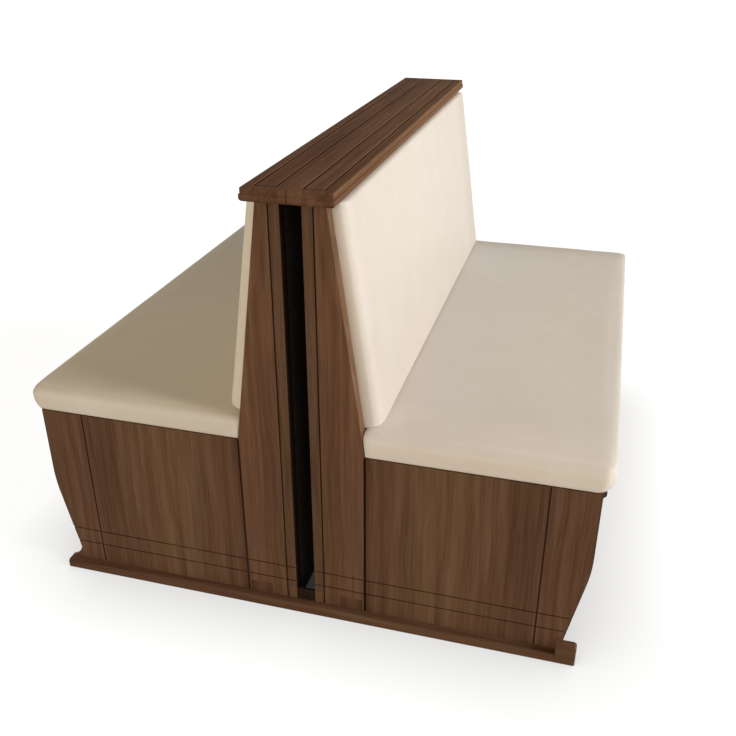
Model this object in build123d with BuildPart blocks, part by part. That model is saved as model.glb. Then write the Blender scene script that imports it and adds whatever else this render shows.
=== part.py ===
from build123d import *
import math
import os

# Double restaurant booth: two upholstered benches stand back to back on shared sole rails, with an
# open gap between their backs and a wooden cap over both.
# X runs across the benches (right bench at +X), Y runs along them (near end at -Y) and Z is up.
# The origin is on the floor under the middle of the gap. Sizes are in millimetres.

# Overall
total_height = 914.0
bench_length = 1180.0  # between the outer faces of the two ends
gap_width = 40.0  # between the two backs
panel_thickness = 25.0  # end panels, stiles and sole rails

# Seat box, measured out from the middle of the gap
box_top = 400.0  # plane on which the seat cushion lies
box_reach = 573.0  # upright upper part of the front
bend_height = 223.0  # below this the front slopes inwards
bend_radius = 330.0
foot_inset = 35.0  # it stands back by this much where it meets the sole rail
seam_reach = 130.0  # joint between stile and end panel
front_thickness = 12.0  # bent front panel
floor_clear = 6.0  # skins and front panels stop this far above the floor

# Base
sole_height = 47.0
toe_proud = 27.0  # past the foot of the sloping front
facing_thickness = 6.0  # of the sole rail across the gap and at its coved toe
cove_run_share = 0.45  # middle point of the coved toe, along its run and up its rise
cove_rise_share = 0.30
shoe_height = 19.0
shoe_proud = 19.0
shoe_round = 6.0
block_width = 40.0  # block at the square tip of the shoe strip
block_height = 45.0
block_chamfer = 4.0
block_round = 4.0

# Routed lines in the outer faces of the two ends
groove_width = 3.0
groove_depth = 2.5
seam_width = 4.6
stile_line_reach = 41.0
panel_line_inset = 92.0  # behind the front
level_heights = (66.0, 101.5)

# Back
stile_top_reach = 64.0  # front edge of a stile under the cap
skin_thickness = 6.0  # black skin on the gap side
back_board_thickness = 9.0
back_board_inset = 14.0  # front of the back board, behind the stiles' front edge
back_rail_height = 60.0
post_width = 45.0

# Cap
cap_thickness = 25.0
cap_overhang = 19.0  # past the outer faces at each end
cap_reach = 85.0  # edge of the nose
nose_height = 13.5
nose_round = 7.0
nose_step = 2.0  # the upper layer stands back by this much
cap_edge_round = 1.5
cap_seam_bevel = 1.2
cap_inner_line = 24.5
cap_outer_line = 62.5
cap_end_line = 20.0  # border line, in from the end of the cap

# Frame inside the seat box
rail_thickness = 20.0
rail_height = 45.0
rib_thickness = 18.0
rib_spacing = 380.0
block_leg = 45.0

# Seat board and cushions
board_thickness = 12.0
board_rear_reach = 32.0
lip_proud = 6.0  # front edge of the board, past the front of the box
lip_bevel = 5.0
lip_end_inset = 8.0  # lip stops this far short of the box's outer face
slide_clear = 0.3  # seat to frame, all over the slide
board_end_clear = 0.5
cushion_clear = 0.5
foot_draw = 2.0  # a cushion's sides draw in by this much to the board it lies on
seat_thickness = 58.0
seat_proud = 19.5  # nose of the seat cushion, past the front of the box
seat_foot_rise = 26.0  # height over which its sides draw in
seat_nose_foot_draw = 14.0
seat_edge_depth = 9.0  # rounding of its upper edges, down from the crown's rim
seat_edge_draw = 10.0  # and in from the nose and the ends
seat_rear_edge_draw = 4.0
seat_nose_corner = 22.0
seat_rear_corner = 4.0
seat_crown = 3.5
seat_crown_run = 75.0
back_foot_tuck = 4.5  # lower rear edge of the back cushion, below the top of the seat
back_foot_thickness = 52.0
back_head_thickness = 47.0  # just under the cap
back_foot_rise = 12.0
back_edge_depth = 18.0
back_end_edge_draw = 20.0
back_low_edge_draw = 8.0
back_top_edge_draw = 9.0
back_corner = 8.0
back_crown = 2.5
back_crown_run = 60.0
# Sections of a cushion: up its drawn-in foot, round its upper edge and over its crown
foot_rise_shares = (0.0, 0.1, 0.5, 1.0)
foot_draw_shares = (1.0, 0.75, 0.25, 0.0)
edge_turn_shares = (0.0, 0.33, 0.67, 1.0)
crown_rise_shares = (0.6, 1.0)
crown_run_shares = (0.35, 1.0)
corner_growth_share = 0.5  # of a section's inset from the ends
corner_limit_share = 0.45  # of a section's shorter side

# Tie plates under the seam of the cap
plate_width = 34.0
plate_length = 80.0
plate_thickness = 2.5
plate_spacing = 420.0
screw_spacing_x = 18.0
screw_spacing_y = 56.0
screw_radius = 2.0
screw_length = 16.0
screw_head_radius = 4.0
screw_head_height = 2.2
screw_clear = 0.1

overrun = 5.0  # cuts run past the faces they open

# Worked out from the sizes above
foot_reach = box_reach - foot_inset
toe_reach = foot_reach + toe_proud
panel_line_reach = box_reach - panel_line_inset
lip_reach = box_reach + lip_proud
seat_reach = box_reach + seat_proud
back_foot_height = box_top + seat_thickness - back_foot_tuck
half_length = bench_length / 2
inner_half = half_length - panel_thickness
half_gap = gap_width / 2
skin_front = half_gap + skin_thickness
cap_under = total_height - cap_thickness
cap_half_length = half_length + cap_overhang
panel_top = box_top - slide_clear
board_bottom = box_top - board_thickness
rail_top = board_bottom - slide_clear
rake_slope = (seam_reach - stile_top_reach) / (cap_under - box_top)
rake_angle = math.atan(rake_slope)
back_low = box_top + cushion_clear
front_rail_rear = box_reach - front_thickness - rail_thickness
floor_rail_rear = foot_reach - front_thickness - rail_thickness
rear_rail_front = skin_front + rail_thickness

SIDES = {"left": -1, "right": 1}
ENDS = {"near": -1, "far": 1}


def finish(piece, name):
    """Labels a finished piece and writes its STEP file."""
    piece.part.label = name
    export_step(piece.part, f"parts/{name}.step")


def slab_plane(end, inner, outer):
    """Upright plane from which a slab between two distances from the middle is extruded towards -Y."""
    return Plane.XZ.offset(inner if end < 0 else -outer)


def rake_reach(height, inset):
    """Reach of a face that lies an inset behind the sloping front edge of the stiles."""
    return stile_top_reach + (cap_under - height) * rake_slope - inset


def front_corners(side, setback):
    """Foot, bend and top of the box front, set back by a thickness. The bend is rounded where they are used."""
    return (
        (side * (foot_reach - setback), sole_height),
        (side * (box_reach - setback), bend_height),
        (side * (box_reach - setback), panel_top),
    )


def routed_lines(end):
    """All the routed lines of one end, shared by its panels, stiles and sole rail so that they line up."""
    line_height = cap_under + overrun - shoe_height
    seam_height = box_top - shoe_height
    with BuildSketch(slab_plane(end, half_length - groove_depth, half_length + overrun)) as lines:
        for side in SIDES.values():
            for reach in (stile_line_reach, panel_line_reach):
                with Locations((side * reach, shoe_height + line_height / 2)):
                    Rectangle(groove_width, line_height)
            with Locations((side * seam_reach, shoe_height + seam_height / 2)):
                Rectangle(seam_width, seam_height)
        for height in level_heights:
            with Locations((0, height)):
                Rectangle(2 * (box_reach + overrun), groove_width)
    return lines.sketch


def end_panel(side, end):
    """End of a seat box: a routed board whose front edge slopes inwards below a soft bend."""
    foot, bend, top = front_corners(side, 0)
    with BuildPart() as panel:
        with BuildSketch(slab_plane(end, inner_half, half_length)):
            with BuildLine():
                FilletPolyline(foot, bend, top, radius=bend_radius)
                Polyline(top, (side * seam_reach, panel_top), (side * seam_reach, sole_height), foot)
            make_face()
        extrude(amount=panel_thickness)
        extrude(routed_lines(end), amount=groove_depth + overrun, mode=Mode.SUBTRACT)
    return panel


def stile(side, end):
    """Upright end board of a back: straight beside the seat box, raked above it."""
    with BuildPart() as board:
        with BuildSketch(slab_plane(end, inner_half, half_length)):
            with BuildLine():
                Polyline(
                    (side * half_gap, sole_height),
                    (side * seam_reach, sole_height),
                    (side * seam_reach, box_top),
                    (side * stile_top_reach, cap_under),
                    (side * half_gap, cap_under),
                    close=True,
                )
            make_face()
        extrude(amount=panel_thickness)
        extrude(routed_lines(end), amount=groove_depth + overrun, mode=Mode.SUBTRACT)
    return board


def sole_rail(end):
    """Board under both benches of one end: a facing carries on across the gap and as a coved toe at one tip."""
    cove_mid_reach = foot_reach + cove_run_share * (toe_reach - foot_reach)
    cove_mid_height = shoe_height + cove_rise_share * (sole_height - shoe_height)
    cove_side = end
    with BuildPart() as rail:
        with BuildSketch(slab_plane(end, inner_half, half_length)):
            for side in SIDES.values():
                with Locations((side * (half_gap + foot_reach) / 2, sole_height / 2)):
                    Rectangle(foot_reach - half_gap, sole_height)
        extrude(amount=panel_thickness)
        with BuildSketch(slab_plane(end, half_length - facing_thickness, half_length)):
            with Locations((0, sole_height / 2)):
                Rectangle(2 * foot_reach, sole_height)
            with BuildLine():
                ThreePointArc(
                    (cove_side * foot_reach, sole_height),
                    (cove_side * cove_mid_reach, cove_mid_height),
                    (cove_side * toe_reach, shoe_height),
                )
                Polyline(
                    (cove_side * toe_reach, shoe_height),
                    (cove_side * toe_reach, 0),
                    (cove_side * foot_reach, 0),
                    (cove_side * foot_reach, sole_height),
                )
            make_face()
        extrude(amount=facing_thickness)
        extrude(routed_lines(end), amount=groove_depth + overrun, mode=Mode.SUBTRACT)
    return rail


def shoe_strip(end):
    """Low moulding along the foot of a sole rail, rounded on top, with a square block at its other tip."""
    block_side = -end
    with BuildPart() as strip:
        with BuildSketch(slab_plane(end, half_length, half_length + shoe_proud)):
            with Locations((0, shoe_height / 2)):
                Rectangle(2 * toe_reach, shoe_height)
        extrude(amount=shoe_proud)
        outer_face = strip.faces().sort_by(Axis.Y)[-1 if end > 0 else 0]
        fillet(outer_face.edges().sort_by(Axis.Z)[-1], radius=shoe_round)
        with BuildSketch(slab_plane(end, half_length, half_length + shoe_proud)):
            with BuildLine():
                Polyline(
                    (block_side * (toe_reach - block_width), 0),
                    (block_side * toe_reach, 0),
                    (block_side * toe_reach, block_height - block_chamfer),
                    (block_side * (toe_reach - block_chamfer), block_height),
                    (block_side * (toe_reach - block_width), block_height),
                    close=True,
                )
            make_face()
        extrude(amount=shoe_proud)
        uprights = strip.edges().filter_by(Axis.Z)
        corner = uprights.sort_by(lambda edge: edge.center().X * block_side + edge.center().Y * end)[-1]
        fillet(corner, radius=block_round)
    return strip


def front_panel(side):
    """Bent panel between the end panels, upright again below the top of the sole rail."""
    foot, bend, top = front_corners(side, 0)
    rear_foot, rear_bend, rear_top = front_corners(side, front_thickness)
    with BuildPart() as panel:
        with BuildSketch(Plane.XZ):
            with BuildLine():
                FilletPolyline(foot, bend, top, radius=bend_radius)
                Line(top, rear_top)
                FilletPolyline(rear_top, rear_bend, rear_foot, radius=bend_radius)
                Polyline(rear_foot, (rear_foot[0], floor_clear), (foot[0], floor_clear), foot)
            make_face()
        extrude(amount=inner_half, both=True)
        split(bisect_by=Plane.XY.offset(rail_top), keep=Keep.BOTTOM)
    return panel


def long_rail(side, rear, low, high):
    """Straight rail between the two ends, from its rear face forward."""
    with BuildPart() as rail:
        with BuildSketch(Plane.XZ):
            with Locations((side * (rear + rail_thickness / 2), (low + high) / 2)):
                Rectangle(rail_thickness, high - low)
        extrude(amount=inner_half, both=True)
    return rail


def back_rail(side, low, high):
    """Rail of the back frame, bevelled to the rake of the back board it carries."""
    board_rear = back_board_inset + back_board_thickness
    with BuildPart() as rail:
        with BuildSketch(Plane.XZ):
            with BuildLine():
                Polyline(
                    (side * skin_front, low),
                    (side * rake_reach(low, board_rear), low),
                    (side * rake_reach(high, board_rear), high),
                    (side * skin_front, high),
                    close=True,
                )
            make_face()
        extrude(amount=inner_half, both=True)
    return rail


def back_posts(side):
    """Two posts between the low and the top rail of a back, over the seat ribs."""
    low, high = back_low + back_rail_height, cap_under - back_rail_height
    board_rear = back_board_inset + back_board_thickness
    with BuildPart() as posts:
        for end in ENDS.values():
            with BuildSketch(Plane.XZ.offset(end * rib_spacing / 2)):
                with BuildLine():
                    Polyline(
                        (side * skin_front, low),
                        (side * rake_reach(low, board_rear), low),
                        (side * rake_reach(high, board_rear), high),
                        (side * skin_front, high),
                        close=True,
                    )
                make_face()
        extrude(amount=post_width / 2, both=True)
    return posts


def seat_ribs(side):
    """Two upright ribs inside a seat box, let in around the floor rail and the rails under the board."""
    with BuildPart() as ribs:
        for end in ENDS.values():
            with BuildSketch(Plane.XZ.offset(end * rib_spacing / 2)):
                with BuildLine():
                    Polyline(
                        (side * rear_rail_front, 0),
                        (side * floor_rail_rear, 0),
                        (side * floor_rail_rear, rail_height),
                        (side * (floor_rail_rear + rail_thickness), rail_height),
                        (side * (floor_rail_rear + rail_thickness), sole_height),
                        (side * front_rail_rear, rail_top - rail_height),
                        (side * front_rail_rear, rail_top),
                        (side * rear_rail_front, rail_top),
                        close=True,
                    )
                make_face()
        extrude(amount=rib_thickness / 2, both=True)
    return ribs


def corner_blocks(side):
    """Four three-cornered blocks glued into the corners of a seat box, level with its upper rails."""
    with BuildPart() as blocks:
        for end in ENDS.values():
            for face, inward in ((front_rail_rear, -1), (rear_rail_front, 1)):
                with BuildSketch(Plane.XY.offset(rail_top - rail_height)):
                    with BuildLine():
                        Polyline(
                            (side * face, end * inner_half),
                            (side * (face + inward * block_leg), end * inner_half),
                            (side * face, end * (inner_half - block_leg)),
                            close=True,
                        )
                    make_face()
        extrude(amount=rail_height)
    return blocks


def back_skin(side):
    """Thin black board on the gap side of a back, between the stiles."""
    with BuildPart() as skin:
        with BuildSketch(Plane.XZ):
            with Locations((side * (half_gap + skin_thickness / 2), (floor_clear + cap_under) / 2)):
                Rectangle(skin_thickness, cap_under - floor_clear)
        extrude(amount=inner_half, both=True)
    return skin


def back_board(side):
    """Raked board between the stiles that carries the back cushion."""
    front, rear = back_board_inset, back_board_inset + back_board_thickness
    with BuildPart() as board:
        with BuildSketch(Plane.XZ):
            with BuildLine():
                Polyline(
                    (side * rake_reach(back_low, front), back_low),
                    (side * rake_reach(cap_under, front), cap_under),
                    (side * rake_reach(cap_under, rear), cap_under),
                    (side * rake_reach(back_low, rear), back_low),
                    close=True,
                )
            make_face()
        extrude(amount=inner_half, both=True)
    return board


def off_seam(edge):
    """True for an edge of a cap half that isn't on the seam between the halves."""
    return abs(edge.center().X) > cap_reach / 4


def cap_half(side):
    """Half of the cap: a nosed lower layer, a stepped upper layer and a routed border line."""
    upper_reach = cap_reach - nose_step
    upper_half_length = cap_half_length - nose_step
    line_mid = (cap_inner_line + cap_outer_line) / 2
    line_width = cap_outer_line - cap_inner_line
    line_length = 2 * (cap_half_length - cap_end_line)
    with BuildPart() as cap:
        with BuildSketch(Plane.XY.offset(cap_under)):
            with Locations((side * cap_reach / 2, 0)):
                Rectangle(cap_reach, 2 * cap_half_length)
        extrude(amount=nose_height)
        under = cap.faces().sort_by(Axis.Z)[0]
        fillet(under.edges().filter_by(off_seam), radius=nose_round)
        with BuildSketch(Plane.XY.offset(cap_under + nose_height)):
            with Locations((side * upper_reach / 2, 0)):
                Rectangle(upper_reach, 2 * upper_half_length)
        extrude(amount=cap_thickness - nose_height)
        top = cap.faces().sort_by(Axis.Z)[-1]
        fillet(top.edges().filter_by(off_seam), radius=cap_edge_round)
        top = cap.faces().sort_by(Axis.Z)[-1]
        chamfer(top.edges().sort_by(lambda edge: abs(edge.center().X))[0], length=cap_seam_bevel)
        with BuildSketch(Plane.XY.offset(total_height - groove_depth)):
            with Locations((side * line_mid, 0)):
                Rectangle(line_width + groove_width, line_length + groove_width)
                Rectangle(line_width - groove_width, line_length - groove_width, mode=Mode.SUBTRACT)
        extrude(amount=groove_depth + overrun, mode=Mode.SUBTRACT)
        with Locations(*screw_places(side)):
            Hole(radius=screw_radius + screw_clear, depth=screw_length)
    return cap


def screw_places(*sides):
    """Places of the tie plates' screws on the underside of the cap, pointing up into it."""
    return [
        Plane(
            origin=(side * screw_spacing_x / 2, row * plate_spacing + end * screw_spacing_y / 2, cap_under),
            z_dir=(0, 0, -1),
        )
        for side in sides
        for row in (-1, 0, 1)
        for end in ENDS.values()
    ]


def tie_plates():
    """Flat steel plates that hold the two halves of the cap level across the seam."""
    with BuildPart() as plates:
        with BuildSketch(Plane.XY.offset(cap_under - plate_thickness)):
            with GridLocations(0, plate_spacing, 1, 3):
                Rectangle(plate_width, plate_length)
                with GridLocations(screw_spacing_x, screw_spacing_y, 2, 2):
                    Circle(screw_radius + screw_clear, mode=Mode.SUBTRACT)
        extrude(amount=plate_thickness)
    return plates


def tie_screws():
    """Pan-head screws of the tie plates."""
    head_base = cap_under - plate_thickness - screw_head_height
    with BuildPart() as screws:
        for place in screw_places(*SIDES.values()):
            centre = (place.origin.X, place.origin.Y)
            with BuildSketch(Plane.XY.offset(head_base)):
                with Locations(centre):
                    Circle(screw_head_radius)
            extrude(amount=screw_head_height)
            with BuildSketch(Plane.XY.offset(head_base + screw_head_height)):
                with Locations(centre):
                    Circle(screw_radius)
            extrude(amount=plate_thickness + screw_length - screw_clear)
    return screws


def seat_board(side):
    """Dark board under a seat cushion: it lies between the end panels and its front lip passes them."""
    lip_start = box_reach + slide_clear
    body_length = 2 * (inner_half - board_end_clear)
    lip_length = 2 * (half_length - lip_end_inset)
    with BuildPart() as board:
        with BuildSketch(Plane.XY.offset(board_bottom)):
            with Locations((side * (board_rear_reach + lip_reach) / 2, 0)):
                Rectangle(lip_reach - board_rear_reach, body_length)
            with Locations((side * (lip_start + lip_reach) / 2, 0)):
                Rectangle(lip_reach - lip_start, lip_length)
        extrude(amount=board_thickness)
        front_face = board.faces().sort_by(Axis.X)[-1 if side > 0 else 0]
        chamfer(front_face.edges().sort_by(Axis.Z)[0], length=lip_bevel)
    return board


def cushion_sections(thickness, foot_rise, edge_depth, crown):
    """Height of each section of a cushion, with its shares of the foot's, the edge's and the crown's inset."""
    rim = thickness - crown
    foot = [(rise * foot_rise, draw, 0, 0) for rise, draw in zip(foot_rise_shares, foot_draw_shares)]
    turns = [share * math.pi / 2 for share in edge_turn_shares]
    edge = [(rim - edge_depth + edge_depth * math.sin(turn), 0, 1 - math.cos(turn), 0) for turn in turns]
    top = [(rim + rise * crown, 0, 1, run) for rise, run in zip(crown_rise_shares, crown_run_shares)]
    return foot + edge + top


def cushion_face(low, high, half_width, low_corner, high_corner, inset):
    """Face of one section: a rectangle from a low to a high edge, its corners rounder the further in it is."""
    limit = corner_limit_share * min(high - low, 2 * half_width)
    growth = corner_growth_share * inset
    with BuildSketch() as face:
        with Locations((0, (low + high) / 2)):
            Rectangle(2 * half_width, high - low)
        fillet(face.vertices().sort_by(Axis.Y)[:2], radius=min(low_corner + growth, limit))
        fillet(face.vertices().sort_by(Axis.Y)[-2:], radius=min(high_corner + growth, limit))
    return face.sketch


def seat_cushion(side):
    """Crowned seat cushion over the whole box: its nose draws in to the lip, its rear leans on the stiles."""
    with BuildPart() as cushion:
        sections = cushion_sections(seat_thickness, seat_foot_rise, seat_edge_depth, seat_crown)
        for height, foot, edge, run in sections:
            crown_inset = run * seat_crown_run
            end_inset = foot * foot_draw + edge * seat_edge_draw + crown_inset
            rear = rake_reach(box_top + height, -cushion_clear)
            rear_inset = edge * seat_rear_edge_draw + crown_inset
            nose_inset = foot * seat_nose_foot_draw + edge * seat_edge_draw + crown_inset
            with BuildSketch(Plane(origin=(0, 0, box_top + height), x_dir=(0, -side, 0), z_dir=(0, 0, 1))):
                add(cushion_face(
                    rear + rear_inset, seat_reach - nose_inset, half_length - end_inset,
                    seat_rear_corner, seat_nose_corner, crown_inset,
                ))
        loft(ruled=True)
    return cushion


def back_cushion(side):
    """Crowned back cushion on the raked board, a little thicker above the seat than under the cap."""
    across, up = math.cos(rake_angle), math.sin(rake_angle)
    foot_reach_out = rake_reach(back_foot_height, back_board_inset)
    half_width = inner_half - cushion_clear
    height = (cap_under - cushion_clear - back_foot_height - back_foot_thickness * up) / across
    splay = math.atan((back_foot_thickness - back_head_thickness) / height)
    with BuildPart() as cushion:
        sections = cushion_sections(back_foot_thickness, back_foot_rise, back_edge_depth, back_crown)
        for rise, foot, edge, run in sections:
            crown_inset = run * back_crown_run
            end_inset = foot * foot_draw + edge * back_end_edge_draw + crown_inset
            low_inset = foot * foot_draw + edge * back_low_edge_draw + crown_inset
            top_inset = foot * foot_draw + edge * back_top_edge_draw + crown_inset
            tilt = rake_angle + splay * rise / back_foot_thickness
            section = Plane(
                origin=(side * (foot_reach_out + rise * across), 0, back_foot_height + rise * up),
                x_dir=(0, side, 0),
                z_dir=(side * math.cos(tilt), 0, math.sin(tilt)),
            )
            with BuildSketch(section):
                add(cushion_face(
                    low_inset, height - top_inset, half_width - end_inset, back_corner, back_corner, crown_inset
                ))
        loft(ruled=True)
    return cushion


os.makedirs("parts", exist_ok=True)
for end_name, end in ENDS.items():
    finish(sole_rail(end), f"sole_rail_{end_name}")
    finish(shoe_strip(end), f"shoe_strip_{end_name}")
    for side_name, side in SIDES.items():
        finish(end_panel(side, end), f"end_panel_{side_name}_{end_name}")
        finish(stile(side, end), f"stile_{side_name}_{end_name}")

for side_name, side in SIDES.items():
    finish(front_panel(side), f"front_panel_{side_name}")
    finish(long_rail(side, front_rail_rear, rail_top - rail_height, rail_top), f"front_rail_{side_name}")
    finish(long_rail(side, floor_rail_rear, 0, rail_height), f"front_floor_rail_{side_name}")
    finish(long_rail(side, skin_front, rail_top - rail_height, rail_top), f"rear_rail_{side_name}")
    finish(long_rail(side, skin_front, 0, rail_height), f"rear_floor_rail_{side_name}")
    finish(seat_ribs(side), f"seat_ribs_{side_name}")
    finish(corner_blocks(side), f"corner_blocks_{side_name}")
    finish(back_skin(side), f"back_skin_{side_name}")
    finish(back_rail(side, back_low, back_low + back_rail_height), f"back_low_rail_{side_name}")
    finish(back_rail(side, cap_under - back_rail_height, cap_under), f"back_top_rail_{side_name}")
    finish(back_posts(side), f"back_posts_{side_name}")
    finish(back_board(side), f"back_board_{side_name}")
    finish(back_cushion(side), f"back_cushion_{side_name}")
    finish(cap_half(side), f"cap_{side_name}")
    finish(seat_board(side), f"seat_board_{side_name}")
    finish(seat_cushion(side), f"seat_cushion_{side_name}")

finish(tie_plates(), "cap_tie_plates")
finish(tie_screws(), "tie_plate_screws")
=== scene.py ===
import math

import bpy
import numpy as np
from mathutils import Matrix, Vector


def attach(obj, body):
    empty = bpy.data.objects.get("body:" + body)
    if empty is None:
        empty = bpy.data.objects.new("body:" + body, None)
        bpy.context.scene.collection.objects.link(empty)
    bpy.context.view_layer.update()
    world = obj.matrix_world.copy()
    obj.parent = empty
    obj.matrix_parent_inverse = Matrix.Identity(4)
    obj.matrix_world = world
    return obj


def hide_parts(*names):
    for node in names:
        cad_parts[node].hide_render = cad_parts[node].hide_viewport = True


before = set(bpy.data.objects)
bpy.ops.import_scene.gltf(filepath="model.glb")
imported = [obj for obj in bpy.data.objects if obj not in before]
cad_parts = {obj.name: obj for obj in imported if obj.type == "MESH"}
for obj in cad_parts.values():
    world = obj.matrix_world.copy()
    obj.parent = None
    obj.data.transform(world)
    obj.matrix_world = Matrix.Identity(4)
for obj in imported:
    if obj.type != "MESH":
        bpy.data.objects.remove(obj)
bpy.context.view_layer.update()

SIDES = {"left": -1, "right": 1}
ENDS = ("near", "far")
RAILS = ("front_rail", "front_floor_rail", "rear_rail", "rear_floor_rail", "back_low_rail", "back_top_rail")

# Joinery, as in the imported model
outer_face = 0.590  # end faces of the benches
seam_reach = 0.130  # between stile and end panel
box_top = 0.400
cap_under = 0.889
cap_top = 0.914
cap_end = 0.609
stile_top_reach = 0.064
back_inset = 0.014
rake_slope = (seam_reach - stile_top_reach) / (cap_under - box_top)
rake_angle = math.atan(rake_slope)
groove_depth = 0.0025
gap_half = 0.020  # from the middle to a stile
line_half = 0.0016  # half the width of a routed line's dark floor
seam_half = 0.0024
stile_line = 0.041  # reach of the line routed into a stile
panel_line = 0.481  # and of the one in an end panel
level_lines = (0.066, 0.1015)  # heights of the level ones
cap_inner_line = 0.0245
cap_outer_line = 0.0625
cap_end_line = 0.020  # in from the end of the cap
crisp = 0.0002  # width over which a sharp mask fades

# Cushions
seat_low = (0.1230, -0.5902, 0.4001)  # box of the right seat cushion
seat_high = (0.5925, 0.5902, 0.4580)
seat_corners = (0.003, 0.005)  # radii beside the stile and at the nose
nose_corners = {"right": (0.020, 0.010), "left": (0.005, 0.005)}  # radii the nose gets, near and far
seat_rounding = (0.004, 0.010, 0.016, 0.005)  # of the upper edges: in at the rear, nose, near and far end
seat_turn = (0.018, 0.009)  # and down at the near end and elsewhere
seat_crown = 0.002
seat_swell = 0.002
nose_draw = 0.013  # the nose draws in to the board by this much
nose_rise = 0.026  # over this height
nose_blend = 0.1  # and over this much of the depth
back_foot_height = 0.4430
back_half_length = 0.5645
back_height = 0.4500  # measured up the rake
back_foot_thickness = 0.0525
back_head_thickness = 0.0470
back_off_board = 0.0004
back_corners = (0.008, 0.006)
back_rounding = (0.008, 0.003, 0.020, 0.008)
back_turn = (0.018, 0.018)
back_crown = 0.001
back_swell = 0.0015
seat_upper_part = 0.03  # a back rests on points this much above the box
back_foot_reach = 0.06  # and this near in front of the seam
contact = 0.0003  # clearance where a cushion rests on something
trim = 0.006  # an underside lies this much lower until it is flattened
upright_band = (0.25, 0.60)  # shares of a pillow's height between which its walls stand upright
swell_room = 0.004  # a pillow starts smaller than its cushion by this much
slack_depth = 0.0010  # unevenness of the stuffed tops
slack_seeds = {"seat": 11, "back": 21}
voxel = 0.0072
swell_frames = 20
swell_pressure = 4.0
wall_share = 0.25  # of the swelling, kept by upright walls
swell_evening = 12  # rounds of averaging

# Camera, light and floor, the camera fitted to the photograph
camera_place = (0.5057, -1.9232, 1.3042)
camera_turn = (62.86, 0.0, 15.47)  # degrees
camera_lens = 42.25  # for a sensor 36 mm wide
ambient_colour = (1.0, 0.87, 0.60)
ambient_strength = 0.28
floor_reach = 40.0
floor_sunk = 0.0002  # under the booth
# Bounds of the painted shade on the floor of the gap
floor_gap_half = 0.041  # of the floor that is seen in the gap
floor_gap_end = 0.5875

# Stretches over which a tint fades in, the veneer's heart its own tone and all the rest painted light and
# shade: reaches from the middle, heights, and places along the benches
heart_reach, heart_spread = 0.300, (0.015, 0.075)  # of an end panel's veneer
stile_face_heights = (0.22, 0.52)
cap_nose_reaches = (0.0815, 0.0825)
# Where the painted highlight beside each of the cap's long lines starts and stops
highlight_start, highlight_stop = (-0.0037, -0.0034), (-0.0018, -0.0015)  # from the middle of a line
seat_rear_reaches = (0.20, 0.50)
seat_rear_heights = (0.445, 0.456)
seat_top_heights = (0.436, 0.455)
seat_far_places = (0.50, 0.58)
near_edge_places = (-0.590, -0.570)
near_edge_heights = (0.434, 0.450)
near_nose_reaches = (0.34, 0.42)
near_nose_heights = (0.442, 0.455)
near_end_places = (-0.56, -0.42)
far_half_places = (-0.40, 0.45)
back_far_places = (0.40, 0.52)
back_foot_heights = (0.46, 0.80)


# Meshes

def mesh_object(name, points, faces):
    """Object at the origin whose mesh holds the points and faces as they are."""
    mesh = bpy.data.meshes.new(name)
    mesh.from_pydata(points.tolist(), [], faces.tolist())
    mesh.validate()
    thing = bpy.data.objects.new(name, mesh)
    bpy.context.scene.collection.objects.link(thing)
    return thing


def points_of(mesh):
    """All vertex places of a mesh as an array of rows."""
    flat = np.empty(len(mesh.vertices) * 3)
    mesh.vertices.foreach_get("co", flat)
    return flat.reshape(-1, 3)


def set_points(mesh, points):
    """Puts an array of rows back into the mesh's vertices."""
    mesh.vertices.foreach_set("co", points.astype(np.float32).ravel())
    mesh.update()


def applied(thing):
    """The object's mesh with its modifiers in it, in place of the old mesh."""
    graph = bpy.context.evaluated_depsgraph_get()
    made = bpy.data.meshes.new_from_object(thing.evaluated_get(graph), depsgraph=graph)
    thing.modifiers.clear()
    thing.data = made
    return made


def ring_grid_faces(rings, steps):
    """Quads between neighbouring rings of a closed grid, each ring joined back to its first point."""
    ring, step = np.meshgrid(np.arange(rings - 1), np.arange(steps), indexing="ij")
    after = (step + 1) % steps
    first, second = ring * steps + step, ring * steps + after
    return np.stack([first, second, second + steps, first + steps], axis=-1).reshape(-1, 4)


def square_walk(across, along):
    """Points round the unit square, anticlockwise from its lower left corner: so many to a side."""
    run_x = np.linspace(-1, 1, across, endpoint=False)
    run_y = np.linspace(-1, 1, along, endpoint=False)
    ones_x, ones_y = np.ones_like(run_x), np.ones_like(run_y)
    return np.concatenate([
        np.stack([run_x, -ones_x], axis=1),
        np.stack([ones_y, run_y], axis=1),
        np.stack([-run_x, ones_x], axis=1),
        np.stack([-ones_y, -run_y], axis=1),
    ])


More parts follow.
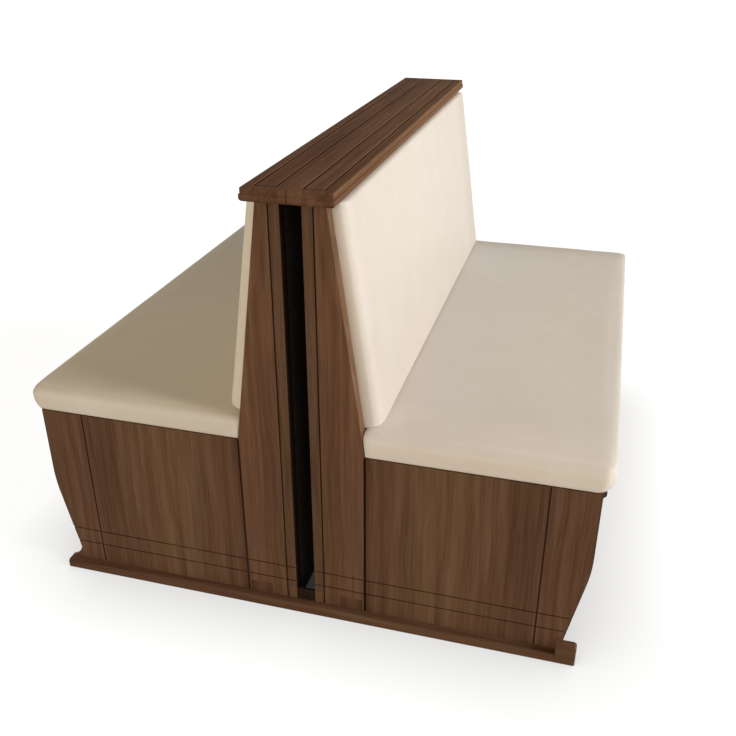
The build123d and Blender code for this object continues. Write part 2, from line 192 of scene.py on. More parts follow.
def pillow(name, size, corners, rounding, turn, crown):
    """Closed pillow, lying in x and y with its thickness in z, centred on the origin in x and y.

    Each ring is a rectangle whose half sizes are the pillow's less an inset in x and one in y, and whose
    corners are rounded: each point of the square walk, scaled to the half sizes, is pulled back to the
    corner's centre and set out again by the corner radius, one radius for each end of x. The insets fall
    from half the width under the middle to nothing at the lower edge, stay nothing up the wall, grow along
    quarter ellipses over the rounding and then on across the top to half the width again. The ellipses
    reach down by one depth at the near end and by another elsewhere, blended over the last twentieth of the
    length. A height is lifted by the crown times its share of the thickness, times one less the fourth
    power of the way out in x, times the same in y.
    """
    half = np.array([size[0] / 2, size[1] / 2])
    thickness = size[2]
    rear, nose, near_end, far_end = rounding
    deepest = half.min() - 1e-4
    rings = {"under": 10, "wall": 10, "shoulder": 14, "top": 24}
    under = np.linspace(1, 0, rings["under"])[:-1] ** 1.5
    side = np.linspace(0, 1, rings["wall"])
    shoulder = np.linspace(0, 1, rings["shoulder"])[1:] * math.pi / 2
    top = np.linspace(0, 1, rings["top"])[1:] ** 1.3
    turned = np.concatenate([0 * under, 0 * side, 1 - np.cos(shoulder), 1 - top])
    deep = deepest * np.concatenate([under, 0 * side, 0 * shoulder, top])
    walk = square_walk(across=60, along=150)
    behind = walk[:, 0] < 0
    drawn = np.stack([np.where(behind, rear, nose), np.where(walk[:, 1] < 0, near_end, far_end)], axis=1)
    blend = np.clip((-walk[:, 1] - 0.9) / 0.1, 0, 1)
    down = turn[1] + (turn[0] - turn[1]) * blend ** 2 * (3 - 2 * blend)
    inset = deep[:, None, None] + turned[:, None, None] * drawn
    wall = thickness - down
    height = np.concatenate([
        np.outer(0 * under, wall),
        np.outer(side, wall),
        wall + np.outer(np.sin(shoulder), down),
        np.full((len(top), len(walk)), thickness),
    ])
    halves = half - inset
    radius = np.where(behind, corners[0], corners[1])[None, :, None] + 0.3 * deep[:, None, None]
    radius = np.minimum(radius, 0.98 * halves.min(axis=2, keepdims=True))
    spot = walk[None, :, :] * halves
    centre = np.clip(spot, radius - halves, halves - radius)
    away = spot - centre
    away /= np.maximum(np.linalg.norm(away, axis=2, keepdims=True), 1e-9)
    plan = centre + radius * away
    lift = crown * (height / thickness) * np.prod(1 - (plan / half) ** 4, axis=2)
    points = np.concatenate([plan, (height + lift - trim)[:, :, None]], axis=2)
    return mesh_object(name, points.reshape(-1, 3), ring_grid_faces(len(height), len(walk)))


def swell(thing, cap):
    """Remeshes a pillow and lets cloth swell by air pressure over its pinned underside.

    Of a point's simulated step only the part out along its normal is kept, n. It is evened out between
    neighbours and capped at d by d * tanh(n / d), and upright walls keep a share of it only.
    """
    remesh = thing.modifiers.new("Remesh", "REMESH")
    remesh.mode = "VOXEL"
    remesh.voxel_size = voxel * 1
    mesh = applied(thing)
    start = points_of(mesh)
    pinned = thing.vertex_groups.new(name="underside")
    pinned.add(np.flatnonzero(start[:, 2] < voxel / 2).tolist(), 1.0, "REPLACE")
    cloth = thing.modifiers.new("Cloth", "CLOTH")
    settings = cloth.settings
    settings.use_pressure = True
    settings.uniform_pressure_force = swell_pressure
    settings.effector_weights.gravity = 0
    settings.vertex_group_mass = pinned.name
    settings.quality = 4
    cloth.point_cache.frame_start = 1
    cloth.point_cache.frame_end = swell_frames
    for step in range(1, swell_frames + 1):
        bpy.context.scene.frame_set(step)
    mesh = applied(thing)
    bpy.context.scene.frame_set(1)
    thing.vertex_groups.clear()
    moved = points_of(mesh) - start
    set_points(mesh, start)
    normals = np.empty(len(start) * 3)
    mesh.vertices.foreach_get("normal", normals)
    normals = normals.reshape(-1, 3)
    edges = np.empty(len(mesh.edges) * 2, dtype=np.int64)
    mesh.edges.foreach_get("vertices", edges)
    edges = edges.reshape(-1, 2)
    count = np.bincount(edges.ravel(), minlength=len(start))
    out = np.clip((moved * normals).sum(axis=1), 0, None)
    for _ in range(swell_evening):
        around = np.bincount(edges[:, 0], out[edges[:, 1]], len(start))
        around += np.bincount(edges[:, 1], out[edges[:, 0]], len(start))
        out = 0.5 * out + 0.5 * around / count
    out = cap * np.tanh(out / cap) * np.clip(normals[:, 2], wall_share, 1)
    set_points(mesh, start + normals * out[:, None])


def slackened(points, thickness, seed):
    """Points with the unevenness of stuffed vinyl, which grows with their height over the underside.

    It is the mean of slow sine waves with seeded directions, rates and phases.
    """
    waves = 14
    chance = np.random.default_rng(seed)
    total = np.zeros(len(points))
    for _ in range(waves):
        turn = chance.uniform(0, 2 * math.pi)
        rate = chance.uniform(9, 34)
        phase = chance.uniform(0, 2 * math.pi)
        total += np.sin(rate * (points[:, 0] * math.cos(turn) + points[:, 1] * math.sin(turn)) + phase)
    points[:, 2] += slack_depth * np.clip(points[:, 2] / thickness, 0, 1) * total / waves
    return points


def fitted(points, low, high):
    """Points stretched so that the walls, at mid height, and the top reach the given box, and kept in it.

    The underside is pressed flat at z = 0 before that. A place is the box's low corner plus its share of
    the old box times the new box's size.
    """
    low, high = np.array(low), np.array(high)
    points = np.maximum(points, (-np.inf, -np.inf, 0))
    share = points[:, 2] / points[:, 2].max()
    wall = points[(share > upright_band[0]) & (share < upright_band[1])]
    old_low = np.append(wall[:, :2].min(axis=0), 0)
    old_high = np.append(wall[:, :2].max(axis=0), points[:, 2].max())
    return np.clip(low + (points - old_low) / (old_high - old_low) * (high - low), low, high)


def dress(thing, mesh_points, side, body, node):
    placed = mesh_points * np.array([side, 1, 1])
    set_points(thing.data, placed)
    if side < 0:
        thing.data.flip_normals()
    thing.data.polygons.foreach_set("use_smooth", np.ones(len(thing.data.polygons), bool))
    smooth = thing.modifiers.new("Subdivision", "SUBSURF")
    smooth.levels = smooth.render_levels = 1
    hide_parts(node)
    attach(thing, body)


def copy_of(thing, name):
    """Second object with its own copy of the mesh."""
    twin = bpy.data.objects.new(name, thing.data.copy())
    bpy.context.scene.collection.objects.link(twin)
    return twin


def rounded_corner(points, end, radius):
    """Points, of which those in the nose's corner at one end are drawn in to a round of the radius.

    A point's place is taken along both sides from the centre of the rounding, and shortened in the
    proportion of the longer of the two to their diagonal, which turns the square there into a quarter disc.
    """
    low, high = points.min(axis=0), points.max(axis=0)
    centre = np.array([high[0] - radius, high[1] - radius if end > 0 else low[1] + radius])
    away = np.maximum((points[:, :2] - centre) * [1, end], 0)
    both = away.min(axis=1) > 0
    share = away[both].max(axis=1) / np.linalg.norm(away[both], axis=1)
    points[both, :2] = centre + away[both] * share[:, None] * [1, end]
    return points


def seat_cushions():
    """Both seat cushions from one simulated pillow: the nose draws in, the rear leans on the raked stiles.

    Within the nose's rise, x falls by the draw times the square of the share of the rise that is left, and
    by less behind the nose, as a smooth step over its blend.
    """
    size = np.array(seat_high) - np.array(seat_low)
    first = pillow("seat_pad_right", size - swell_room, seat_corners, seat_rounding, seat_turn, seat_crown)
    swell(first, seat_swell)
    pads = {"right": first, "left": copy_of(first, "seat_pad_left")}
    for number, (side_name, side) in enumerate(SIDES.items()):
        rest = points_of(pads[side_name].data)
        for end, radius in zip((-1, 1), nose_corners[side_name]):
            rest = rounded_corner(rest, end, radius)
        rest = slackened(rest, size[2], slack_seeds["seat"] + number)
        placed = fitted(rest, seat_low, seat_high)
        left = np.clip(1 - (placed[:, 2] - seat_low[2]) / nose_rise, 0, 1) ** 2
        ahead = np.clip((placed[:, 0] - seat_high[0]) / nose_blend + 1, 0, 1)
        placed[:, 0] -= nose_draw * left * ahead ** 2 * (3 - 2 * ahead)
        rake = stile_top_reach + (cap_under - placed[:, 2]) * rake_slope + contact
        placed[:, 0] = np.maximum(placed[:, 0], rake)
        dress(pads[side_name], placed, side, f"seat_{side_name}", f"seat_cushion_{side_name}")


def rested(points, seat):
    """Points, of which those that would sink into the top of the seat cushion are lifted to rest on it.

    The height of the top over a point is that of the seat's nearest upper vertex, seen from above.
    """
    top = points_of(seat.data)
    top = top[(top[:, 2] > box_top + seat_upper_part) & (abs(top[:, 0]) < seam_reach + back_foot_reach)]
    low = np.flatnonzero(points[:, 2] < seat_high[2] + contact)
    away = ((points[low, None, :2] - top[None, :, :2]) ** 2).sum(axis=2)
    points[low, 2] = np.maximum(points[low, 2], top[away.argmin(axis=1), 2] + contact)
    return points


def back_cushions():
    """Both back cushions from one simulated pillow, which is then stood up on the raked board.

    The pillow's x climbs the board and its z stands off it, times a share that falls from one at the foot
    to the head's thickness over the foot's.
    """
    size = np.array([back_height, 2 * back_half_length, back_foot_thickness])
    first = pillow("back_pad_right", size - swell_room, back_corners, back_rounding, back_turn, back_crown)
    swell(first, back_swell)
    pads = {"right": first, "left": copy_of(first, "back_pad_left")}
    across, up = math.cos(rake_angle), math.sin(rake_angle)
    foot_reach = stile_top_reach + (cap_under - back_foot_height) * rake_slope - back_inset
    box_low = (0, -back_half_length, back_off_board)
    box_high = (back_height, back_half_length, back_foot_thickness)
    for number, (side_name, side) in enumerate(SIDES.items()):
        thing = pads[side_name]
        rest = slackened(points_of(thing.data), size[2], slack_seeds["back"] + number)
        flat = fitted(rest, box_low, box_high)
        climb = flat[:, 0]
        off = flat[:, 2] * (1 + (back_head_thickness / back_foot_thickness - 1) * climb / back_height)
        placed = np.stack([
            foot_reach - climb * up + off * across,
            flat[:, 1],
            back_foot_height + climb * across + off * up,
        ], axis=1)
        seat = bpy.data.objects[f"seat_pad_{side_name}"]
        placed = rested(placed * [side, 1, 1], seat) * [side, 1, 1]
        placed[:, 2] = np.minimum(placed[:, 2], cap_under - contact)
        thing.data.flip_normals()  # because x now points up and z out
        dress(thing, placed, side, "frame", f"back_cushion_{side_name}")


# Finishes

class Value:
    """A value socket in a node tree; its operators add Math nodes and give the result as another value."""

    def __init__(self, owner, socket):
        self.owner, self.socket = owner, socket

    def math(self, operation, *terms):
        """One Math node over the terms, in order."""
        return self.owner.math(operation, *terms)

    def __add__(self, other):
        return self.math("ADD", self, other)

    __radd__ = __add__

    def __sub__(self, other):
        return self.math("SUBTRACT", self, other)

    def __rsub__(self, other):
        return self.math("SUBTRACT", other, self)

    def __mul__(self, other):
        return self.math("MULTIPLY", self, other)

    __rmul__ = __mul__

    def __truediv__(self, other):
        return self.math("DIVIDE", self, other)

    def __abs__(self):
        return self.math("ABSOLUTE", self)

    def __or__(self, other):
        """The larger of two masks."""
        return self.math("MAXIMUM", self, other)

    def step(self, low, high):
        """0 below the low value, 1 above the high one and smooth between."""
        node = self.owner.node(
            "ShaderNodeMapRange", {"interpolation_type": "SMOOTHSTEP"},
            {"Value": self, "From Min": low, "From Max": high, "To Min": 0.0, "To Max": 1.0},
        )
        return Value(self.owner, node.outputs["Result"])


class Tree:
    """The node tree of a material or a world, built from nothing."""

    def __init__(self, owner):
        owner.use_nodes = True
        self.tree = owner.node_tree
        self.tree.nodes.clear()

    def node(self, kind, settings, sockets):
        """Any node: its settings, or a ramp's stops, are set first, then its sockets' values or links."""
        node = self.tree.nodes.new(kind)
        for key, value in settings.items():
            if key == "stops":
                ramp = node.color_ramp
                while len(ramp.elements) < len(value):
                    ramp.elements.new(0.5)
                for element, (position, colour) in zip(ramp.elements, value):
                    element.position, element.color = position, (*colour, 1.0)
            else:
                setattr(node, key, value)
        for key, value in sockets.items():
            if isinstance(value, Value):
                value = value.socket
            if isinstance(value, bpy.types.NodeSocket):
                self.tree.links.new(value, node.inputs[key])
            elif isinstance(value, tuple) and node.inputs[key].type == "RGBA":
                node.inputs[key].default_value = (*value, 1.0)
            else:
                node.inputs[key].default_value = value
        return node

    def math(self, operation, *terms):
        """Math node over values and numbers."""
        node = self.node("ShaderNodeMath", {"operation": operation}, dict(enumerate(terms)))
        return Value(self, node.outputs[0])


class Finish(Tree):
    """A procedural material with one Principled surface."""

    def __init__(self, name):
        self.material = bpy.data.materials.new(name)
        super().__init__(self.material)
        self.place = self.node("ShaderNodeTexCoord", {}, {}).outputs["Object"]
        parts = self.node("ShaderNodeSeparateXYZ", {}, {"Vector": self.place}).outputs
        self.x, self.y, self.z = (Value(self, parts[axis]) for axis in "XYZ")

    def stretched(self, scales, shift=(0.0, 0.0, 0.0)):
        """Object place scaled along each axis and moved."""
        node = self.node(
            "ShaderNodeMapping", {"vector_type": "POINT"},
            {"Vector": self.place, "Scale": scales, "Location": shift},
        )
        return node.outputs["Vector"]

    def noise(self, vector, scale, detail, roughness=0.5, distortion=0.0):
        """Fractal noise, about 0.5 in the middle."""
        node = self.node("ShaderNodeTexNoise", {}, {
            "Vector": vector, "Scale": scale,
            "Detail": detail, "Roughness": roughness, "Distortion": distortion,
        })
        return Value(self, node.outputs[0])

    def ramp(self, value, stops):
        """Colour by value."""
        return self.node("ShaderNodeValToRGB", {"stops": stops}, {"Fac": value}).outputs["Color"]

    def mix(self, share, first, second, blend="MIX"):
        """Colour between two colours."""
        settings = {"data_type": "RGBA", "blend_type": blend}
        return self.node("ShaderNodeMix", settings, {0: share, 6: first, 7: second}).outputs[2]

    def tinted(self, colour, tints):
        """Colour times each tint, as far as the tint's mask goes."""
        for mask, tint in tints:
            colour = self.mix(mask(self), colour, tint, "MULTIPLY")
        return colour

    def bump(self, height, depth, strength):
        """Normal from a height in units of the depth."""
        node = self.node("ShaderNodeBump", {}, {"Height": height, "Distance": depth, "Strength": strength})
        return node.outputs["Normal"]

    def surface(self, **sockets):
        """Ends the tree with a Principled surface; names are written with underscores."""
        named = {key.replace("_", " "): value for key, value in sockets.items()}
        shader = self.node("ShaderNodeBsdfPrincipled", {}, named)
        out = self.node("ShaderNodeOutputMaterial", {}, {"Surface": shader.outputs[0]})
        self.tree.nodes.active = out
        return self.material


def lengthwise(along, share):
    """Scales that draw a pattern out along one axis by one over the share."""
    return tuple(share if axis == along else 1.0 for axis in range(3))


def near(value, place, half_width):
    """Mask that is 1 within the half width of a place and fades over the edge of it."""
    return 1 - abs(value - place).step(half_width - crisp / 2, half_width + crisp)


# Tones of the walnut laminate, dark to light
walnut_stops = [
    (0.22, (0.0900, 0.0400, 0.0205)),
    (0.42, (0.1380, 0.0655, 0.0350)),
    (0.58, (0.1700, 0.0840, 0.0465)),
    (0.80, (0.2220, 0.1170, 0.0690)),
]


def walnut(name, along, shift=(0.0, 0.0, 0.0), routed_and_shaded=None, tints=(), gloss=0.045, matched=False):
    """Straight-grained walnut laminate: broad bands, streaks and fibres drawn out along one axis.

    The grain wanders by a few millimetres, is mirrored about the gap where the veneer is matched, and is
    cut by thin dark lines where a slow noise crosses its middle. The mask given for routing turns the lines
    cut into the board nearly black, and for the ends it also paints shade, nearly black, on the gap side.
    """
    finish = Finish(name)
    vector_math = "ShaderNodeVectorMath"
    if matched:
        finish.place = finish.node(vector_math, {"operation": "ABSOLUTE"}, {0: finish.place}).outputs[0]
    wander = finish.noise(finish.place, 4.5, 1.0)
    sockets = {0: wander, 1: (0.016, 0.016, 0.016), 2: finish.place}
    finish.place = finish.node(vector_math, {"operation": "MULTIPLY_ADD"}, sockets).outputs[0]
    grain = finish.stretched(lengthwise(along, 0.035), shift)
    loose = finish.stretched(lengthwise(along, 0.10), shift)
    straight = finish.stretched(lengthwise(along, 0.010), shift)
    bands = finish.noise(grain, 13.0, 1.5, 0.5, 0.2)
    streaks = finish.noise(grain, 60.0, 3.0, 0.68, 0.1)
    fibres = finish.noise(grain, 330.0, 2.0, 0.55)
    shade = finish.noise(loose, 5.0, 1.0)
    value = 0.28 * bands + 0.52 * streaks + 0.20 * fibres
    value = (value - 0.5) * 1.75 + 0.5 + 0.25 * (shade - 0.5)
    vein = 1 - abs(finish.noise(straight, 24.0, 1.0, 0.4) - 0.5).step(0.004, 0.040)
    colour = finish.ramp(value, walnut_stops)
    colour = finish.mix(0.22 * vein, colour, (0.045, 0.018, 0.009))
    colour = finish.mix(shade.step(0.35, 0.65), colour, (0.97, 1.03, 0.95), "MULTIPLY")
    pores = finish.noise(grain, 900.0, 1.0)
    roughness = 0.48 + 0.10 * (fibres - 0.5) + 0.08 * (shade - 0.5)
    colour = finish.tinted(colour, tints)
    if routed_and_shaded is not None:
        cut_and_shade = routed_and_shaded(finish)
        colour = finish.mix(cut_and_shade, colour, (0.012, 0.0055, 0.0032))
        roughness = roughness + 0.3 * cut_and_shade
    return finish.surface(
        Base_Color=colour, Roughness=roughness, Specular_IOR_Level=gloss,
        Normal=finish.bump(0.7 * pores + 0.3 * fibres, 0.00025, 0.5),
    )


def end_lines_and_gap_shade(finish):
    """Mask of the ends' routed lines, from the dark seam to the faint level ones, and of the painted shade,
    nearly black, on the gap side.
    """
    depth = abs(finish.y)
    inside = depth.step(outer_face - groove_depth - 0.0006, outer_face - groove_depth - 0.0003)
    inside = inside * (1 - depth.step(outer_face - 0.0006, outer_face - 0.0002))
    reach = abs(finish.x)
    upright = near(reach, stile_line, line_half) | near(reach, panel_line, line_half)
    level = near(finish.z, level_lines[0], line_half) | near(finish.z, level_lines[1], line_half)
    # Painted shade: the faces along the gap are painted nearly black.
    gap_shade = 1 - reach.step(gap_half + crisp, gap_half + 3 * crisp)
    # The seam is painted darker on the right bench than on the left: painted shade.
    seam = near(reach, seam_reach, seam_half) * (0.62 + 0.38 * finish.x.step(-0.01, 0.01))
    return (inside * (seam | 0.8 * upright | 0.15 * level)) | 0.9 * gap_shade


def light_heart(finish):
    """Mask of the paler heart of each end panel's veneer."""
    return 1 - abs(abs(finish.x) - heart_reach).step(*heart_spread)


def stile_face_painted_light(finish):
    """Mask of painted light on the stiles' faces outside their line, growing up from the seat."""
    return finish.z.step(*stile_face_heights) * abs(finish.x).step(stile_line - 0.001, stile_line + 0.001)


def stile_strip_painted_shade(finish):
    """Mask of painted shade on the stiles' strips along the gap."""
    return 1 - abs(finish.x).step(stile_line - 0.001, stile_line + 0.001)


def stile_edges_painted_light(finish):
    """Mask of painted light, a paler band on the raked front edges of the stiles."""
    front = stile_top_reach + (cap_under - finish.z) * rake_slope
    inside = 1 - abs(finish.y).step(outer_face - 0.0008, outer_face - 0.0004)
    return (abs(finish.x) - front).step(-0.0012, -0.0006) * inside


def cap_lines(finish):
    """Mask of the border lines routed into the cap and of the seam between its halves."""
    inside = finish.z.step(cap_top - groove_depth - 0.0006, cap_top - groove_depth - 0.0003)
    inside = inside * (1 - finish.z.step(cap_top - 0.0006, cap_top - 0.0002))
    reach = abs(finish.x)
    along = abs(finish.y)
    line_end = cap_end - cap_end_line + line_half
    lines = near(reach, cap_inner_line, line_half) | near(reach, cap_outer_line, line_half)
    lines = lines * (1 - along.step(line_end - crisp, line_end + crisp))
    border = near(along, cap_end - cap_end_line, line_half)
    border = border * reach.step(cap_inner_line - line_half, cap_inner_line - line_half + crisp)
    border = border * (1 - reach.step(cap_outer_line + line_half - crisp, cap_outer_line + line_half))
    return (inside * (lines | 0.5 * border)) | 0.85 * near(reach, 0.0, 0.0006)


def cap_nose_painted_light(finish):
    """Mask of painted light, a paler band on the long noses of the cap."""
    return abs(finish.x).step(*cap_nose_reaches)


def cap_top_painted_shade(finish):
    """Mask of painted shade on the cap's top."""
    return finish.z.step(cap_top - 0.0010, cap_top - 0.0004)


def everywhere(finish):
    """Mask of the whole piece."""
    return 1.0


def seat_rear_shade(finish):
    """Mask of painted shade on a seat's top, which grows towards the back."""
    return (1 - abs(finish.x).step(*seat_rear_reaches)) * finish.z.step(*seat_rear_heights)


def far_half_shade(finish):
    """Mask of painted shade that grows slowly from the near half to the far end."""
    return finish.y.step(*far_half_places)


def near_end(finish):
    """Mask of the near end and the top beside it; on the right seat it carries painted light."""
    return 1 - finish.y.step(*near_end_places)


def painted_line_highlights(finish):
    """Mask of painted highlights along the left of the cap's long lines."""
    highlight_mask = 0
    for line in (-cap_outer_line, -cap_inner_line, cap_inner_line, cap_outer_line):
        across = finish.x - line
        highlight_mask = highlight_mask + across.step(*highlight_start) * (1 - across.step(*highlight_stop))
    on_top = finish.z.step(cap_top - 0.002, cap_top - 0.001)
    return highlight_mask * on_top * (1 - abs(finish.y).step(cap_end - 0.023, cap_end - 0.021))


def seat_far_edge_shade(finish):
    """Mask of painted shade on a seat's far edge."""
    return finish.y.step(*seat_far_places)


def back_far_edge_shade(finish):
    """Mask of painted shade on a back's far edge."""
    return finish.y.step(*back_far_places)


def near_edge_shade(finish):
    """Mask of painted shade on the rounding between a seat's near end and its top."""
    return (1 - finish.y.step(*near_edge_places)) * finish.z.step(*near_edge_heights)


def near_nose_shade(finish):
    """Mask of painted shade on the top in the corner between the near end and the nose."""
    return near_end(finish) * abs(finish.x).step(*near_nose_reaches) * finish.z.step(*near_nose_heights)


def seat_top_light_and_shade(finish):
    """Mask of a seat's top: painted shade on the left seat, a painted cooler light on the right one."""
    return finish.z.step(*seat_top_heights)


def back_foot_shade(finish):
    """Mask of painted shade that grows down the back towards the seat."""
    return 1 - finish.z.step(*back_foot_heights)


def cream_vinyl(name, tints):
    """Smooth cream upholstery vinyl: slow mottling, a fine pebbled grain with painted shade in its creases,
    and a low even gloss.
    """
    finish = Finish(name)
    slow = finish.noise(finish.place, 3.2, 2.0, 0.5)
    cloudy = finish.noise(finish.place, 16.0, 3.0, 0.55)
    pebble = finish.node("ShaderNodeTexVoronoi", {"feature": "DISTANCE_TO_EDGE"}, {
        "Vector": finish.place, "Scale": 720.0, "Randomness": 1.0,
    })
    cells = Value(finish, pebble.outputs["Distance"])
    value = 0.55 * slow + 0.45 * cloudy
    colour = finish.ramp(value, [
        (0.30, (0.755, 0.668, 0.560)),
        (0.50, (0.790, 0.705, 0.600)),
        (0.70, (0.820, 0.740, 0.640)),
    ])
    # Painted shade: the creases of the pebbled grain are painted darker.
    shaded_crease = 1 - cells.step(0.0, 0.16)
    colour = finish.mix(0.06 * shaded_crease, colour, (0.50, 0.42, 0.32))
    colour = finish.tinted(colour, tints)
    return finish.surface(
        Base_Color=colour, Roughness=0.50 + 0.12 * (cloudy - 0.5) + 0.05 * shaded_crease, Specular_IOR_Level=0.35,
        Sheen_Weight=0.05, Sheen_Roughness=0.4,
        Normal=finish.bump(cells.step(0.0, 0.35), 0.00012, 0.35),
    )


def black_board(name):
    """Stained black board with a faint drawn-out grain and dusty, matt patches."""
    finish = Finish(name)
    grain = finish.stretched((1.0, 0.05, 1.0))
    fibres = finish.noise(grain, 160.0, 3.0, 0.6)
    dust = finish.noise(finish.place, 6.0, 3.0, 0.6)
    colour = finish.ramp(0.6 * fibres + 0.4 * dust, [
        (0.3, (0.034, 0.0240, 0.0170)),
        (0.7, (0.060, 0.0430, 0.0320)),
    ])
    return finish.surface(
        Base_Color=colour, Roughness=0.62 + 0.2 * (dust - 0.5), Specular_IOR_Level=0.25,
        Normal=finish.bump(fibres, 0.0003, 0.4),
    )


def plywood(name):
    """Raw plywood: pale veneer with drawn-out figure, and plies that run through the sheet as a zigzag."""
    ply_thickness = 0.0015
    finish = Finish(name)
    grain = finish.stretched((1.0, 0.05, 0.06))
    figure = finish.noise(grain, 26.0, 4.0, 0.6, 0.8)
    fibres = finish.noise(grain, 300.0, 2.0)
    ply = finish.math("PINGPONG", finish.y + 0.3 * finish.x, ply_thickness) / ply_thickness
    value = 0.55 * figure + 0.25 * fibres + 0.20 * ply
    colour = finish.ramp(value, [
        (0.25, (0.33, 0.21, 0.11)),
        (0.55, (0.50, 0.36, 0.21)),
        (0.80, (0.62, 0.48, 0.31)),
    ])
    return finish.surface(
        Base_Color=colour, Roughness=0.68 + 0.2 * (fibres - 0.5), Specular_IOR_Level=0.3,
        Normal=finish.bump(fibres, 0.0004, 0.5),
    )


def pine(name, along):
    """Planed softwood: growth rings as a wave across the rail, bent by noise, with darker late wood."""
    finish = Finish(name)
    grain = finish.stretched(lengthwise(along, 0.04))
    bend = finish.noise(grain, 18.0, 2.0, 0.5, 0.6)
    rings = finish.node("ShaderNodeTexWave", {"wave_type": "RINGS", "rings_direction": "XYZ"[along]}, {
        "Vector": grain, "Scale": 42.0, "Distortion": 3.5, "Detail": 2.0, "Detail Scale": 1.2,
    })
    late = Value(finish, rings.outputs["Fac"])
    fibres = finish.noise(grain, 380.0, 2.0)
    value = 0.45 * late + 0.35 * bend + 0.20 * fibres
    colour = finish.ramp(value, [
        (0.25, (0.62, 0.46, 0.28)),
        (0.55, (0.54, 0.36, 0.19)),
        (0.85, (0.37, 0.21, 0.10)),
    ])
    return finish.surface(
        Base_Color=colour, Roughness=0.60 + 0.15 * (fibres - 0.5), Specular_IOR_Level=0.3,
        Normal=finish.bump(0.6 * late + 0.4 * fibres, 0.0003, 0.4),
    )


def zinc(name):
    """Zinc plated steel with drawn scratches and a faint yellow bloom."""
    finish = Finish(name)
    scratch = finish.noise(finish.stretched((1.0, 0.03, 1.0)), 900.0, 2.0)
    bloom = finish.noise(finish.place, 60.0, 3.0)
    colour = finish.ramp(0.4 * scratch + 0.6 * bloom, [
        (0.3, (0.46, 0.45, 0.40)),
        (0.7, (0.62, 0.62, 0.62)),
    ])
    return finish.surface(
        Base_Color=colour, Metallic=1.0, Roughness=0.32 + 0.25 * (scratch - 0.4),
        Normal=finish.bump(scratch, 0.0001, 0.3),
    )


def paint(name, material):
    """Gives a CAD node one finish in all its slots."""
    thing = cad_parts[name]
    if not thing.material_slots:
        thing.data.materials.append(material)
    for place in thing.material_slots:
        place.material = material


# Stage, lights and camera

def white_rays(tree):
    """1 for camera, glossy and see-through rays, which meet the white background."""
    rays = tree.node("ShaderNodeLightPath", {}, {}).outputs
    seen = Value(tree, rays["Is Camera Ray"]) | Value(tree, rays["Is Glossy Ray"])
    return seen | Value(tree, rays["Is Transmission Ray"])


def floor():
    """Wide white floor that keeps the booth's shadow: part of its white is given, less where it is shut in.

    Between the two backs hardly any is given, which paints shade on the floor of the gap.
    """
    corners = floor_reach * np.array([[-1, -1, 0], [1, -1, 0], [1, 1, 0], [-1, 1, 0]])
    ground = mesh_object("floor", corners - [0, 0, floor_sunk], np.array([[0, 1, 2, 3]]))
    finish = Finish("white_floor")
    shut_in = finish.node("ShaderNodeAmbientOcclusion", {"samples": 12}, {"Distance": 0.25})
    open_sky = Value(finish, shut_in.outputs["AO"])
    # Painted shade: the floor seen in the gap gives almost none of its white.
    painted_gap_shade = 1 - abs(finish.x).step(floor_gap_half - 0.001, floor_gap_half + 0.001)
    painted_gap_shade = painted_gap_shade * (1 - abs(finish.y).step(floor_gap_end - 0.0025, floor_gap_end + 0.0025))
    strength = 0.92 * (0.35 + 0.65 * open_sky) * (1 - 0.944 * painted_gap_shade)
    glow = finish.node("ShaderNodeEmission", {}, {"Color": (1.0, 1.0, 1.0), "Strength": strength})
    matt = finish.node("ShaderNodeBsdfDiffuse", {}, {"Color": (0.22, 0.22, 0.22)})
    both = finish.node("ShaderNodeAddShader", {}, {0: glow.outputs[0], 1: matt.outputs[0]})
    plain = finish.node("ShaderNodeBsdfDiffuse", {}, {"Color": (0.60, 0.59, 0.57)})
    choice = {0: white_rays(finish), 1: plain.outputs[0], 2: both.outputs[0]}
    shown = finish.node("ShaderNodeMixShader", {}, choice)
    finish.node("ShaderNodeOutputMaterial", {}, {"Surface": shown.outputs[0]})
    ground.data.materials.append(finish.material)


def lamp(name, direction, strength, spread, colour):
    """Soft distant lamp that shines from a direction; its spread is in degrees."""
    data = bpy.data.lights.new(name, "SUN")
    data.energy, data.angle, data.color = strength, math.radians(spread), colour
    thing = bpy.data.objects.new(name, data)
    thing.rotation_mode = "QUATERNION"
    thing.rotation_quaternion = Vector(direction).to_track_quat("Z", "Y")
    bpy.context.scene.collection.objects.link(thing)


def studio():
    """Plain pale surroundings, and a soft key from the right with a weak fill from the near end."""
    world = bpy.data.worlds.new("studio")
    bpy.context.scene.world = world
    sky = Tree(world)
    ambient = sky.node("ShaderNodeBackground", {}, {"Color": ambient_colour, "Strength": ambient_strength})
    white = sky.node("ShaderNodeBackground", {}, {"Color": (1.0, 1.0, 1.0)})
    choice = {0: white_rays(sky), 1: ambient.outputs[0], 2: white.outputs[0]}
    shown = sky.node("ShaderNodeMixShader", {}, choice)
    sky.node("ShaderNodeOutputWorld", {}, {"Surface": shown.outputs[0]})
    lamp("key", direction=(0.80, -0.04, 0.325), strength=2.66, spread=24.0, colour=(0.89, 0.93, 1.0))
    lamp("fill", direction=(-0.10, -1.0, 0.12), strength=1.22, spread=40.0, colour=(1.0, 0.94, 0.90))


def camera():
    """Camera at the photograph's place."""
    data = bpy.data.cameras.new("camera")
    data.sensor_width = 36.0
    data.sensor_fit = "HORIZONTAL"
    data.lens = camera_lens
    data.clip_end = 200.0
    thing = bpy.data.objects.new("camera", data)
    thing.location = camera_place
    thing.rotation_euler = [math.radians(angle) for angle in camera_turn]
    bpy.context.scene.collection.objects.link(thing)
    bpy.context.scene.camera = thing


# The booth

bpy.context.scene.view_settings.view_transform = "Standard"
camera()
studio()
floor()
seat_cushions()
back_cushions()

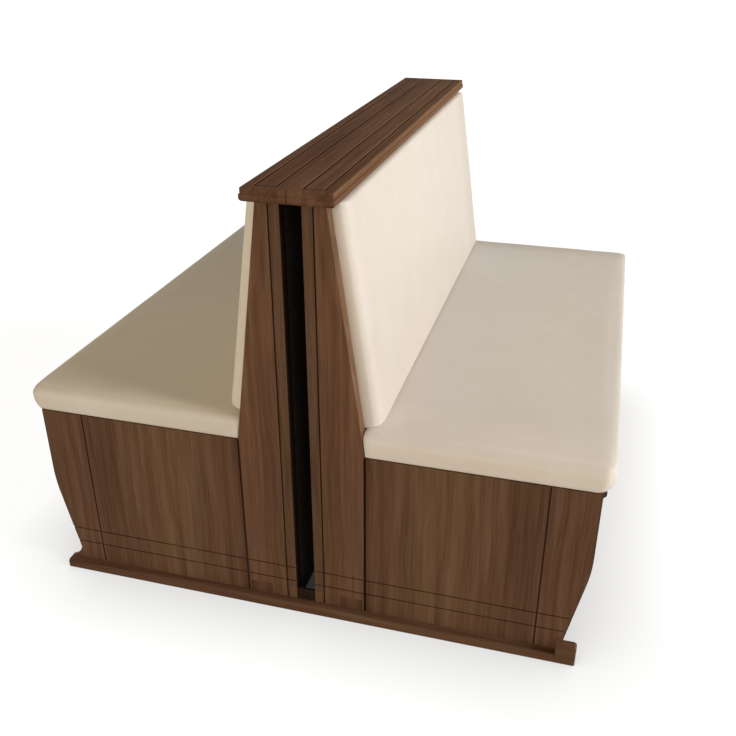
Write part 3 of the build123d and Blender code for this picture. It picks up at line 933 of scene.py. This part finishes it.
# The tints by place follow the tones of the photograph: the veneer's heart and the wood's overall tones are
# its own, all the others, the cushions' overall ones too, paint light and shade
upright = walnut("walnut_upright", 2, routed_and_shaded=end_lines_and_gap_shade, matched=True, tints=[
    (light_heart, (1.10, 1.10, 1.10)), (everywhere, (0.95, 0.965, 0.98)),
])
# The stiles' tints paint light on their faces and raked front edges and paint shade on their strips along
# the gap.
stile_walnut = walnut("walnut_stile", 2, (0.7, 0.1, 0.0), routed_and_shaded=end_lines_and_gap_shade, matched=True, tints=[
    (stile_edges_painted_light, (1.12, 1.24, 1.18)), (stile_face_painted_light, (1.15, 1.16, 1.16)), (stile_strip_painted_shade, (0.92, 0.98, 1.06)),
])
# The cap's tints paint light on its noses and shade on its top, and painted highlights along its lines.
cap_walnut = walnut("walnut_cap", 1, (0.3, 0.0, 0.7), routed_and_shaded=cap_lines, gloss=0.003, tints=[
    (cap_nose_painted_light, (1.29, 1.30, 1.26)), (cap_top_painted_shade, (0.89, 0.86, 0.83)),
    (everywhere, (1.04, 1.05, 1.07)), (painted_line_highlights, (1.9, 1.9, 1.9)),
])
shoe_walnut = walnut("walnut_shoe", 0, (0.0, 0.4, 0.2), tints=[(everywhere, (0.86, 0.86, 0.86))])
# Painted light and shade, one vinyl copy to each cushion: the right seat darker at its rear, far half and
# edges, lighter at the near end and cooler on top; the left seat darker on top, at its far half, near edge
# and nose corner, and warmer; the right back darker at its foot, far half and far edge; the left back
# lighter and warmer.
vinyl = {
    "seat_pad_right": cream_vinyl("cream_seat_right", [
        (seat_rear_shade, (0.89, 0.90, 0.93)), (far_half_shade, (0.955, 0.96, 0.97)), (near_end, (1.09, 1.08, 1.07)),
        (seat_top_light_and_shade, (1.0, 1.01, 1.05)), (near_edge_shade, (0.86, 0.86, 0.86)), (seat_far_edge_shade, (0.84, 0.82, 0.79)),
    ]),
    "seat_pad_left": cream_vinyl("cream_seat_left", [
        (seat_top_light_and_shade, (0.95, 0.945, 0.92)), (far_half_shade, (0.79, 0.785, 0.80)), (near_nose_shade, (0.95, 0.94, 0.92)),
        (everywhere, (1.0, 0.99, 0.95)), (near_edge_shade, (0.84, 0.82, 0.79)),
    ]),
    "back_pad_right": cream_vinyl("cream_back_right", [
        (back_foot_shade, (0.88, 0.88, 0.88)), (far_half_shade, (0.96, 0.965, 0.965)), (everywhere, (1.03, 1.02, 1.02)),
        (back_far_edge_shade, (0.91, 0.915, 0.87)),
    ]),
    "back_pad_left": cream_vinyl("cream_back_left", [(everywhere, (1.16, 1.15, 1.05))]),
}
board = black_board("black_board")
sheet = plywood("raw_plywood")
long_pine, post_pine, block_pine = pine("pine_rail", 1), pine("pine_post", 2), pine("pine_block", 0)
steel = zinc("zinc_plate")

for end in ENDS:
    paint(f"sole_rail_{end}", upright)
    paint(f"shoe_strip_{end}", shoe_walnut)
    for side in SIDES:
        paint(f"end_panel_{side}_{end}", upright)
        paint(f"stile_{side}_{end}", stile_walnut)
for side in SIDES:
    paint(f"front_panel_{side}", upright)
    paint(f"cap_{side}", cap_walnut)
    for rail in RAILS:
        paint(f"{rail}_{side}", long_pine)
    paint(f"back_posts_{side}", post_pine)
    paint(f"corner_blocks_{side}", block_pine)
    paint(f"seat_ribs_{side}", sheet)
    paint(f"back_board_{side}", sheet)
    paint(f"back_skin_{side}", board)
    paint(f"seat_board_{side}", board)
    for pad in (f"seat_pad_{side}", f"back_pad_{side}"):
        bpy.data.objects[pad].data.materials.append(vinyl[pad])
paint("cap_tie_plates", steel)
paint("tie_plate_screws", steel)

bpy.context.view_layer.update()
